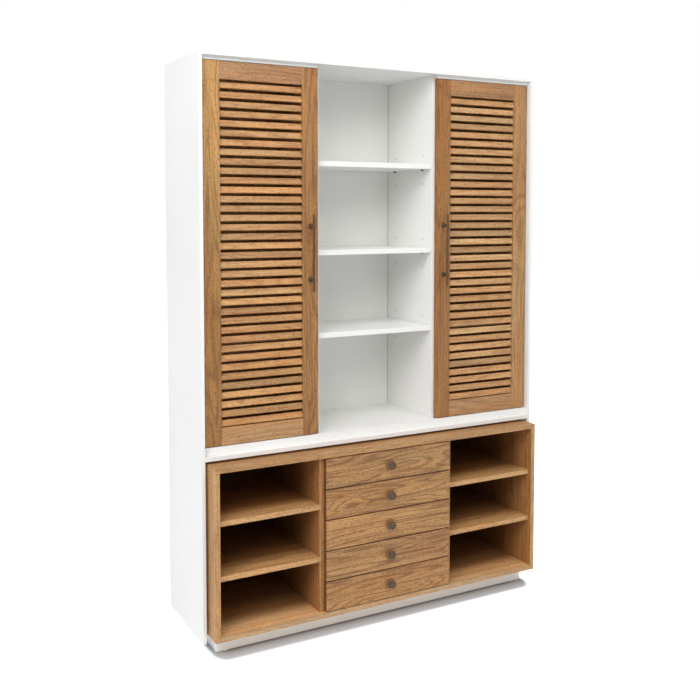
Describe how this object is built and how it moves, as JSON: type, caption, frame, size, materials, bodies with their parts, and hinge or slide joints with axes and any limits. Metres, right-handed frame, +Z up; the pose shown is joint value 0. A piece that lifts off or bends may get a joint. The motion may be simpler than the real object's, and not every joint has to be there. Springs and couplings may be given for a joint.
{
  "type": "buffet cabinet",
  "caption": "Tall white buffet cabinet with louvred oak doors beside open shelves, over a projecting oak box with drawers and open bays.",
  "frame": {"origin": "on the floor, at the middle of the cabinet's whole width and depth", "axes": "+Z up, +X to the viewer's right, -Y to the front where the doors and drawers open"},
  "size_m": [1.38, 0.444, 2.005],
  "materials": {
    "white_lacquer": "satin white lacquer on board",
    "box_oak": "satin clear varnish on oak veneer",
    "door_oak": "satin clear varnish on solid oak",
    "drawer_oak": "satin clear varnish on knotty oak",
    "drawer_timber": "plain planed timber",
    "bronze_metal": "satin grey-bronze",
    "hinge_steel": "nickel-plated steel",
    "glide_plastic": "matt"
  },
  "bodies": {
    "cabinet": {"base_top": "white_lacquer", "closet_shelves": "white_lacquer", "drawer_runners": "drawer_timber", "glides": "glide_plastic", "hinge_arms": "hinge_steel", "left_base_side": "white_lacquer", "left_oak_partition": "box_oak", "left_oak_shelf_high": "box_oak", "left_oak_shelf_low": "box_oak", "left_oak_side": "box_oak", "left_partition": "white_lacquer", "left_upper_side": "white_lacquer", "middle_shelf_high": "white_lacquer", "middle_shelf_low": "white_lacquer", "middle_shelf_mid": "white_lacquer", "oak_back": "box_oak", "oak_bottom": "box_oak", "oak_spacers": "white_lacquer", "oak_top": "box_oak", "plinth": "white_lacquer", "right_base_side": "white_lacquer", "right_oak_partition": "box_oak", "right_oak_shelf_high": "box_oak", "right_oak_shelf_low": "box_oak", "right_oak_side": "box_oak", "right_partition": "white_lacquer", "right_upper_side": "white_lacquer", "shelf_pins": "hinge_steel", "top_panel": "white_lacquer", "upper_back": "white_lacquer", "upper_floor": "white_lacquer"},
    "left_door": {"left_door_bottom_rail": "door_oak", "left_door_handle": "bronze_metal", "left_door_hinge_cups": "hinge_steel", "left_door_hinge_stile": "door_oak", "left_door_lock_stile": "door_oak", "left_door_slats": "door_oak", "left_door_top_rail": "door_oak"},
    "right_door": {"right_door_bottom_rail": "door_oak", "right_door_handle": "bronze_metal", "right_door_hinge_cups": "hinge_steel", "right_door_hinge_stile": "door_oak", "right_door_lock_stile": "door_oak", "right_door_slats": "door_oak", "right_door_top_rail": "door_oak"},
    "drawer_1": {"drawer_1_box": "drawer_timber", "drawer_1_front": "drawer_oak", "drawer_1_knob": "bronze_metal"},
    "drawer_2": {"drawer_2_box": "drawer_timber", "drawer_2_front": "drawer_oak", "drawer_2_knob": "bronze_metal"},
    "drawer_3": {"drawer_3_box": "drawer_timber", "drawer_3_front": "drawer_oak", "drawer_3_knob": "bronze_metal"},
    "drawer_4": {"drawer_4_box": "drawer_timber", "drawer_4_front": "drawer_oak", "drawer_4_knob": "bronze_metal"},
    "drawer_5": {"drawer_5_box": "drawer_timber", "drawer_5_front": "drawer_oak", "drawer_5_knob": "bronze_metal"}
  },
  "joints": [
    {"name": "left_door_hinge", "type": "hinge", "parent": "cabinet", "child": "left_door", "pos_m": [-0.654, -0.107, 1.33925], "axis": [0, 0, -1], "range_deg": [0, 95]},
    {"name": "right_door_hinge", "type": "hinge", "parent": "cabinet", "child": "right_door", "pos_m": [0.654, -0.107, 1.33925], "axis": [0, 0, 1], "range_deg": [0, 95]},
    {"name": "drawer_1_slide", "type": "slide", "parent": "cabinet", "child": "drawer_1", "axis": [0, -1, 0], "range_m": [0, 0.28]},
    {"name": "drawer_2_slide", "type": "slide", "parent": "cabinet", "child": "drawer_2", "axis": [0, -1, 0], "range_m": [0, 0.28]},
    {"name": "drawer_3_slide", "type": "slide", "parent": "cabinet", "child": "drawer_3", "axis": [0, -1, 0], "range_m": [0, 0.28]},
    {"name": "drawer_4_slide", "type": "slide", "parent": "cabinet", "child": "drawer_4", "axis": [0, -1, 0], "range_m": [0, 0.28]},
    {"name": "drawer_5_slide", "type": "slide", "parent": "cabinet", "child": "drawer_5", "axis": [0, -1, 0], "range_m": [0, 0.28]}
  ]
}
